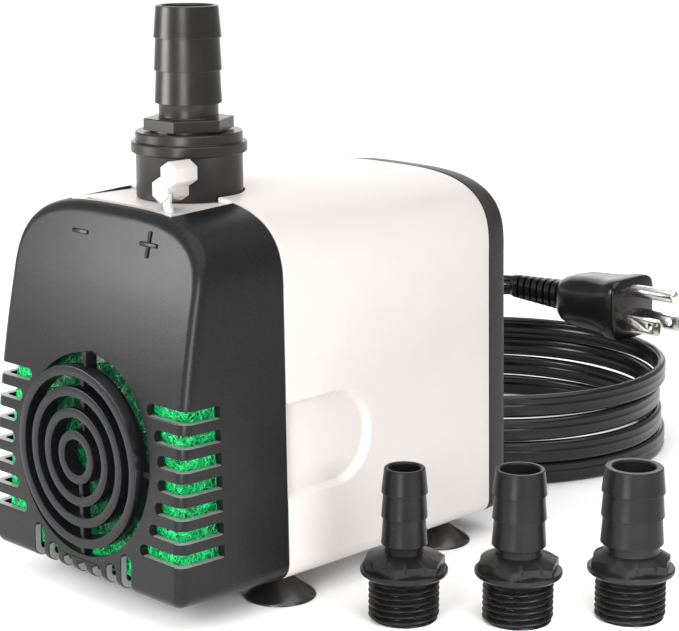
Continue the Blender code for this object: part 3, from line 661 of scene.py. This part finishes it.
def fibre_mesh(strands, rng):
    """Thin curly strands that lie on the pad and follow it round the corners."""
    verts, faces = [], []
    for along, z in strands:
        heading, half = rng.uniform(0, math.tau), rng.uniform(1.5, 3.4)
        curl, radius = rng.uniform(-1.3, 1.3), rng.uniform(0.10, 0.18)
        low, high = sorted((rng.uniform(0.0, 1.1), rng.uniform(0.0, 1.1)))
        spots = []
        for t in STRAND_STEPS:
            ahead, aside = half * t, curl * (1 - t * t)
            height = z + ahead * math.sin(heading) + aside * math.cos(heading)
            spots.append(pad_place(
                along + ahead * math.cos(heading) - aside * math.sin(heading),
                min(max(height, PAD_Z[0]), PAD_Z[1]),
                low + (high - low) * (1 - t * t),
            ))
        first, last = len(verts), len(spots) - 1
        for i, spot in enumerate(spots):
            line = (spots[min(i + 1, last)] - spots[max(i - 1, 0)]).normalized()
            side = line.cross(Vector((0.3, 1.0, 0.2))).normalized()
            other = line.cross(side)
            for corner in range(STRAND_SIDES):
                angle = math.tau * corner / STRAND_SIDES
                verts.append((spot + (side * math.cos(angle) + other * math.sin(angle)) * radius) * MM)
        for ring in range(last):
            for corner in range(STRAND_SIDES):
                a = first + ring * STRAND_SIDES + corner
                b = first + ring * STRAND_SIDES + (corner + 1) % STRAND_SIDES
                faces.append((a, b, b + STRAND_SIDES, a + STRAND_SIDES))
        faces.append(tuple(reversed(range(first, first + STRAND_SIDES))))
        faces.append(tuple(range(len(verts) - STRAND_SIDES, len(verts))))
    mesh = bpy.data.meshes.new("fibres")
    mesh.from_pydata(verts, [], faces)
    return mesh


# ---------------------------------------------------------------- housing and rear cover


def grip_depth(y, z):
    """How far the side wall is drawn in at a point: a grip with a round end behind the cover's seam."""
    radius, mid_z, end_y, depth, wall = 14.5, 47.5, -9.0, 2.3, 1.5
    out = math.hypot(y - end_y, z - mid_z) - radius if y > end_y else abs(z - mid_z) - radius
    share = min(max(-out / wall, 0.0), 1.0)
    return depth * share * share * (3 - 2 * share)


def make_housing():
    """Housing shell with a grip in each side and an opening for the riser. It is finer round the grips."""
    fine = [31.0 + 0.5 * i for i in range(67)]
    side_z = [18.0, 22.0, 26.0, 29.0, *fine, 68.0, 74.0, 80.0, 86.0]
    length = HOUSING_REAR_Y - HOUSING_FRONT_Y

    def loop(inset, y):
        draft = REAR_DRAFT * (y - HOUSING_FRONT_Y) / length
        points = []
        for x, z in body_half(inset + draft, side_z, base_z=BASE_Z - draft):
            depth = grip_depth(y, z) if inset < 3.0 and x > 40 else 0.0
            points.append((x - depth, y, z))
        return points

    rows = [loop(HOUSING_WALL, MOTOR_WALL_Y), loop(HOUSING_WALL, HOUSING_FRONT_Y + 0.3)]
    rows += [loop(HOUSING_WALL - 0.3, HOUSING_FRONT_Y)]
    edge = 0.6
    for angle in (90, 60, 30, 0):
        turn = math.radians(angle)
        rows.append(loop(edge * (1 - math.cos(turn)), HOUSING_FRONT_Y + edge * (1 - math.sin(turn))))
    y = HOUSING_FRONT_Y + 1.0
    while y < 8.0:
        rows.append(loop(0.0, y))
        y += 0.5
    rows += [loop(0.0, y) for y in (12.0, 20.0, 30.0, 40.0, 50.0, 57.0)]
    for angle in (0, 30, 60, 90):
        turn = math.radians(angle)
        rows.append(loop(edge * (1 - math.cos(turn)), HOUSING_REAR_Y - edge * (1 - math.sin(turn))))
    shell = body_loft(rows)
    riser = rod_mesh(16.4, (0, OUTLET_Y, 100), (0, OUTLET_Y, 125))
    front = box_mesh((-16.4, 16.4), (HOUSING_FRONT_Y - 2, OUTLET_Y), (100, 125))
    shell = combined(shell, [riser, front])
    piece("housing_shell", shell, "pump", ["motor_housing"], WHITE, sharp=45.0)


def make_rear_cover():
    """Rear cover with a rounded rim, a step in from the housing's edge."""
    rows = []
    radius, edge, base_z = 3.5, 0.4, BASE_Z - REAR_DRAFT
    for angle in (90, 45, 0):
        turn = math.radians(angle)
        inset = REAR_DRAFT + edge * (1 - math.cos(turn))
        y = REAR_COVER_Y + edge * (1 - math.sin(turn))
        rows.append([(x, y, z) for x, z in body_half(inset, base_z=base_z)])
    for turn in np.linspace(0, math.pi / 2, 9):
        inset = REAR_DRAFT + 0.5 + radius * (1 - math.cos(turn))
        y = HALF_LENGTH - radius * (1 - math.sin(turn))
        rows.append([(x, y, z) for x, z in body_half(inset, base_z=base_z)])
    piece("rear_shell", body_loft(rows), "pump", ["rear_cover"], REAR_GREY, sharp=40.0)


def make_suction_cups():
    profile = [
        (0.0, 7.2), (3.4, 7.2), (3.7, 6.6), (4.6, 5.4), (6.4, 3.9), (8.6, 2.3), (10.3, 1.1), (10.9, 0.55),
        (11.0, 0.25), (10.85, 0.05), (10.3, 0.02), (9.4, 0.6), (6.0, 3.0), (2.5, 4.8), (0.0, 5.0),
    ]
    spots = {
        "front_right": (35.5, -24), "front_left": (-35.5, -24),
        "rear_right": (35, 46), "rear_left": (-35, 46),
    }
    for name, centre in spots.items():
        cup = lathe_mesh([(max(r, 0.02), z) for r, z in profile], centre, closed=False)
        piece(f"cup_{name}", cup, "pump", [f"suction_cup_{name}"], RUBBER, sharp=50.0)


# ---------------------------------------------------------------- outlet


def barb_points(radius, edges, top, foot, neck):
    """Outer (radius, height) points of a hose tail from its mouth down to its neck."""
    points = [(radius - 1.0, top), (radius - 0.75, top - 0.25)]
    for number, edge in enumerate(edges):
        points += [(radius - 0.04, edge + 0.55), (radius, edge + 0.35)]
        points += [(radius, edge + 0.08), (radius - 0.08, edge)]
        step = 0.55 if number < len(edges) - 1 else radius - neck
        points += [(radius - step + 0.05, edge - 0.02), (radius - step, edge - 0.12)]
    return points + [(neck, foot)]


def hex_radius(across_flats, angle):
    """Distance from the axis to a hexagon's side at an angle, corners on the X line."""
    return across_flats / math.cos((angle % (math.pi / 3)) - math.pi / 6)


def make_outlet():
    centre = (0.0, OUTLET_Y)
    low, top = COLLAR_Z
    bore = THREAD_RADIUS + 0.4
    collar = [
        (15.9, low + 0.2), (15.9, 129.9), (16.05, 130.25), (17.0, 130.45), (17.3, 130.75), (17.3, 133.3),
        (17.05, 133.6), (16.15, 133.75), (16.0, 133.95), (16.0, 136.2), (15.7, 136.6),
        (bore + 0.2, top), (bore, top - 0.2), (bore, low), (15.7, low),
    ]
    turned = lathe_mesh(collar, centre, 128)
    piece("collar_body", turned, "pump", ["outlet_collar"], OUTLET_BLACK)
    flats = 13.6 * math.cos(math.pi / 6)
    hex_low = top + 0.45
    profile = barb_points(10.0, (163.9, 154.4, 144.8), BARB_TOP, HEX_TOP + 0.4, 8.9) + [(9.2, HEX_TOP)]
    profile += [
        (lambda a: hex_radius(flats, a) - 0.25, HEX_TOP), (lambda a: hex_radius(flats, a), HEX_TOP - 0.25),
        (lambda a: hex_radius(flats, a), hex_low + 0.1), (lambda a: hex_radius(flats, a) - 0.1, hex_low),
        (THREAD_RADIUS, hex_low), (THREAD_RADIUS, 123.5), (9.8, 123.0),
        (OUTLET_BORE, 123.0), (OUTLET_BORE, BARB_TOP - 0.6), (OUTLET_BORE + 0.4, BARB_TOP),
    ]
    adapter = lathe_mesh(profile, centre, 144)
    piece("adapter_body", adapter, "adapter", ["outlet_adapter"], OUTLET_BLACK, sharp=28.0)


def make_lever():
    """Two stacked hexagonal lobes on a hooked stem, over the plate that slides inside the cover."""
    lobes = []
    for centre in ((20.2, 128.0), (16.4, 123.2)):
        lobes.append(prism_mesh(arc(centre, 3.8, 90, 390, 6), KNOB_Y))
    knob = combined(lobes[0], lobes[1:], "UNION")
    stem = prism_mesh([
        (18.0, 122.5), (16.6, 119.5), (17.4, 116.5), (17.4, 110), (20.6, 110), (20.6, 117.5),
        (19.6, 119.6), (20.0, 122.5),
    ], (-50.9, -49.7))
    plate = prism_mesh([
        (16.5, 112), (20.8, 112), (20.8, 98), (41, 62), (41, 34), (18.5, 34), (18.5, 62), (16.5, 92),
    ], (-51.0, -49.6))
    mesh = combined(knob, [stem, plate], "UNION")
    piece("lever_knob", bevelled(mesh, 0.22), "lever", ["flow_lever"], LEVER_WHITE)


def make_spare_adapters():
    """Loose hose adapters: barbs, a hexagon on a round flange, and a real helical thread."""
    flats, limit = 10.74, 11.0
    thread_top, thread_rows = 12.4, 64

    def hex_top(angle):
        return 18.4 - max(hex_radius(flats, angle) - limit, 0.0) * 0.5

    for name, barb, bore, centre in SPARE_ADAPTERS:
        profile = barb_points(barb, (38.0, 30.8, 22.8), 45.4, 20.2, barb - 1.0)
        profile += [
            (limit, 18.5), (lambda a: max(hex_radius(flats, a), limit), hex_top),
            (lambda a: hex_radius(flats, a), 15.7), (12.4, 15.5), (12.7, 15.2), (12.7, 14.3), (12.4, 13.9),
            (10.9, 12.8), (9.3, 12.6),
        ]
        for i in range(thread_rows + 1):
            height = thread_top - 12.2 * i / thread_rows
            fade = min(1.0, (thread_top - height) / 0.8, height + 0.3)
            profile.append((thread_radius(height, fade), height))
        profile += [(8.8, 0.0), (bore, 0.0), (bore, 44.9), (bore + 0.4, 45.4)]
        mesh = lathe_mesh(profile, centre, 96)
        piece(f"spare_{name}_body", mesh, f"spare_{name}", [f"spare_adapter_{name}"],
              ADAPTER_BLACK, sharp=30.0)


def thread_radius(height, fade):
    """Radius of a rounded right-hand thread at a height, as a function of the angle."""
    def at(angle):
        phase = (height / THREAD_PITCH - angle / math.tau) % 1.0
        ridge = 0.5 + 0.5 * math.cos(math.tau * phase)
        return 9.15 + 1.15 * fade * ridge**0.8

    return at


# ---------------------------------------------------------------- cord and plug


def smooth_points(points, spacing):
    """Evenly spaced points on a smooth curve through the route's own points."""
    route = [Vector(point) for point in points]
    ends = [2 * route[0] - route[1], *route, 2 * route[-1] - route[-2]]
    fine = []
    for i in range(1, len(ends) - 2):
        p0, p1, p2, p3 = ends[i - 1:i + 3]
        for step in range(24):
            t = step / 24
            fine.append(
                0.5 * (2 * p1 + (p2 - p0) * t + (2 * p0 - 5 * p1 + 4 * p2 - p3) * t**2
                       + (3 * p1 - p0 - 3 * p2 + p3) * t**3)
            )
    fine.append(route[-1])
    lengths = [0.0]
    for a, b in zip(fine, fine[1:]):
        lengths.append(lengths[-1] + (b - a).length)
    count = max(int(lengths[-1] / spacing), 2)
    spaced, i = [], 0
    for step in range(count + 1):
        want = lengths[-1] * step / count
        while i < len(fine) - 2 and lengths[i + 1] < want:
            i += 1
        share = (want - lengths[i]) / (lengths[i + 1] - lengths[i])
        spaced.append(fine[i].lerp(fine[i + 1], share))
    return spaced


def coil_points(spacing):
    """The coil from the floor up, each turn on the last, climbing where the turns cross."""
    points = []
    count = int(COIL_TURNS * math.tau * COIL_RADIUS / spacing)
    for step in range(count + 1):
        turns = COIL_TURNS * step / count
        angle = math.radians(COIL_START - 360 * turns)
        layer, part = divmod(turns + 0.1, 1.0)
        climb = min(max((part - 0.8) / 0.2, 0.0), 1.0)
        height = CORD_WIDTH / 2 + 0.1 + LAYER_PITCH * (layer + climb * climb * (3 - 2 * climb))
        sway = 0.8 * math.sin(2 * angle + 2.1 * layer) + 0.5 * math.sin(3 * angle + 1.3 * turns)
        settle = min(turns / 0.12, (COIL_TURNS - turns) / 0.12, 1.0)
        radius = COIL_RADIUS + sway * settle
        points.append(Vector((COIL_CENTRE[0] + radius * math.cos(angle),
                              COIL_CENTRE[1] + radius * math.sin(angle), height)))
    return points


def cord_path():
    """The whole route: lead, a short bridge onto the coil, the coil and the tail, then smoothed."""
    lead = smooth_points(LEAD_ROUTE, 2.0)
    coil = coil_points(4.0)
    tail = smooth_points([*TAIL_ROUTE, (PLUG_REAR_X - 20, PLUG_Y, PLUG_Z)], 2.0)
    bridge = smooth_points([lead[-6], lead[-1], coil[5], coil[9]], 2.0)
    path = lead[:-6] + bridge + coil[10:-3] + tail[1:]
    for _ in range(3):
        for number, spot in enumerate(path):
            spot.z = max(spot.z, half_height(number) + 0.1)
        path = [path[0]] + [(a + 2 * b + c) / 4 for a, b, c in zip(path, path[1:], path[2:])] + [path[-1]]
    return path


def half_height(number):
    """Half the flat cord's height at a point of its path."""
    turn = (1 - standing(number)) * math.pi / 2
    return CORD_WIDTH / 2 * math.cos(turn) + CORD_THICK / 2 * math.sin(turn)


def standing(number):
    """How far the flat cord has turned on edge, from lying flat at the gland to upright in the coil."""
    lay = min(max((number - 40) / 30.0, 0.0), 1.0)
    return lay * lay * (3 - 2 * lay)


def cord_section():
    """Outline of the flat cord: three round cores side by side, as (across, up) points."""
    pitch, core = (CORD_WIDTH - CORD_THICK) / 2, CORD_THICK / 2
    points = arc((pitch, 0.0), core, -90, 90, 15)
    points += [
        (pitch * 0.5, core * 0.72), (0.45, core * 0.985), (0.0, core), (-0.45, core * 0.985),
        (-pitch * 0.5, core * 0.72),
    ]
    points += [(-x, -y) for x, y in points]
    return points


def make_cord():
    path = cord_path()
    section = cord_section()
    rows = []
    total = len(path)
    for i, spot in enumerate(path):
        ahead = (path[min(i + 1, total - 1)] - path[max(i - 1, 0)]).normalized()
        upright = Vector((0, 0, 1)) - ahead * ahead.z
        upright.normalize()
        flat = ahead.cross(upright)
        turn = (1 - standing(i)) * math.pi / 2
        wide = upright * math.cos(turn) + flat * math.sin(turn)
        thin = ahead.cross(wide)
        rows.append([spot + wide * u + thin * v for u, v in section])
    mesh = grid_mesh(rows)
    nodes = ["cord_lead", "cord_coil", "cord_tail"]
    return piece("cord", mesh, "pump", nodes, CORD_BLACK, sharp=60.0), path


def make_gland():
    """Ribbed gland that carries the cord out of the rear cover."""
    profile = [(0.02, 0.0), (7.2, 0.0), (7.6, 0.4), (7.6, 1.6), (7.2, 2.0), (5.9, 2.2)]
    for rib in range(5):
        y = 4.0 + 4.0 * rib
        radius = 5.6 - 0.25 * rib
        profile += [(radius, y - 1.5), (radius, y + 0.6), (radius - 0.8, y + 0.9), (radius - 0.8, y + 2.0)]
    profile += [(4.3, 23.6), (4.2, 24.0), (0.02, 24.0)]
    gland = turned_over(lathe_mesh(profile, closed=False), (0, HALF_LENGTH, 84.0), (0, 1, 0))
    return piece("gland_body", gland, "pump", ["cord_gland"], RUBBER, sharp=40.0)


def superellipse(wide, high, power, count=48):
    """Outline between an ellipse and a rectangle: the higher the power, the squarer its corners."""
    points = []
    for i in range(count):
        angle = math.tau * i / count
        c, s = math.cos(angle), math.sin(angle)
        x = wide * math.copysign(abs(c) ** (2 / power), c)
        y = high * math.copysign(abs(s) ** (2 / power), s)
        points.append((x, y))
    return points


def make_plug():
    """A moulded three-pin plug: ribbed strain relief, grip body, two flat blades and a round pin."""
    def rows(sections):
        made = []
        for x, wide, high, power in sections:
            outline = superellipse(wide, high, power)
            made.append([(PLUG_REAR_X + x, PLUG_Y + u, PLUG_Z + v) for u, v in outline])
        return made

    ribs = []
    for i in range(7):
        x = -25.5 + 3.6 * i
        grow = i / 6
        wide, high = 2.6 + 2.6 * grow, 4.7 + 1.0 * grow
        ribs += [(x, wide, high, 3), (x + 2.2, wide, high, 3), (x + 2.4, wide - 0.9, high - 0.9, 3),
                 (x + 3.4, wide - 0.9, high - 0.9, 3)]
    relief = grid_mesh(rows([(-27, 2.2, 4.3, 3), *ribs, (0.5, 5.2, 6.0, 3)]))
    body = grid_mesh(rows([
        (-0.3, 5.0, 5.6, 3), (0.8, 7.4, 7.2, 3.2), (4.0, 9.6, 9.0, 3.6), (9.0, 10.6, 10.2, 4),
        (15.0, 10.9, 10.6, 4),
        (21.0, 11.2, 10.9, 4), (26.0, 12.0, 11.4, 4.5), (28.0, 12.8, 11.9, 5), (31.5, 13.0, 12.0, 5),
        (32.6, 12.7, 11.7, 5), (33.0, 12.1, 11.1, 5),
    ]))
    front = PLUG_REAR_X + 33
    made = [
        piece("plug_relief", relief, "pump", ["plug_strain_relief"], CORD_BLACK, sharp=45.0),
        piece("plug_grip", body, "pump", ["plug_body"], CORD_BLACK, sharp=50.0),
    ]
    for name, side in (("left", -1), ("right", 1)):
        y = PLUG_Y + side * 6.35
        outline = [(front + x, PLUG_Z + z) for x, z in (
            (-0.5, -7.5), (16.2, -7.5), (17.6, -6.6), (18.0, -5.4),
            (18.0, -3.3), (17.6, -2.1), (16.2, -1.2), (-0.5, -1.2),
        )]
        blade = prism_mesh(outline, (y - 0.75, y + 0.75))
        hole = rod_mesh(1.5, (front + 12.5, y - 3, PLUG_Z - 4.35), (front + 12.5, y + 3, PLUG_Z - 4.35), 32)
        blade = bevelled(combined(blade, [hole]), 0.18)
        made.append(piece(f"blade_{name}", blade, "pump", [f"plug_blade_{name}"], BRASS))
    profile = [(0.02, 0.0), (2.4, 0.0), (2.4, 18.6), (2.1, 19.5), (1.4, 20.0), (0.02, 20.1)]
    pin = lathe_mesh(profile, steps=48, closed=False)
    turned_over(pin, (front - 0.3, PLUG_Y, PLUG_Z + 7.0), (1, 0, 0))
    made.append(piece("ground_pin", pin, "pump", ["plug_ground_pin"], BRASS, sharp=50.0))
    return made


# ---------------------------------------------------------------- pieces kept from the part


def finish_inner_nodes():
    """The inner solids keep their own shape and get the material of what they are."""
    finishes = {
        WHITE: ["pump_chamber"],
        NYLON: ["rotor_well", "coil_bobbin_left", "coil_bobbin_right", "impeller", "chamber_cover"],
        IRON: ["stator_core"],
        COPPER: ["stator_coil_left", "stator_coil_right"],
        RESIN: ["potting_resin"],
        FERRITE: ["rotor_magnet"],
        CERAMIC: ["rotor_shaft"],
        RUBBER: ["shaft_bush_front", "shaft_bush_rear", "chamber_seal", "outlet_gasket"],
    }
    for made, names in finishes.items():
        for name in names:
            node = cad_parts[name]
            node.data.materials.clear()
            node.data.materials.append(made)


make_camera()
make_floor()
make_studio()
cord, path = make_cord()
gland = make_gland()
plug_pieces = make_plug()
make_cover()
make_filter()
make_housing()
make_rear_cover()
make_suction_cups()
make_outlet()
make_lever()
make_spare_adapters()
finish_inner_nodes()

bpy.context.view_layer.update()
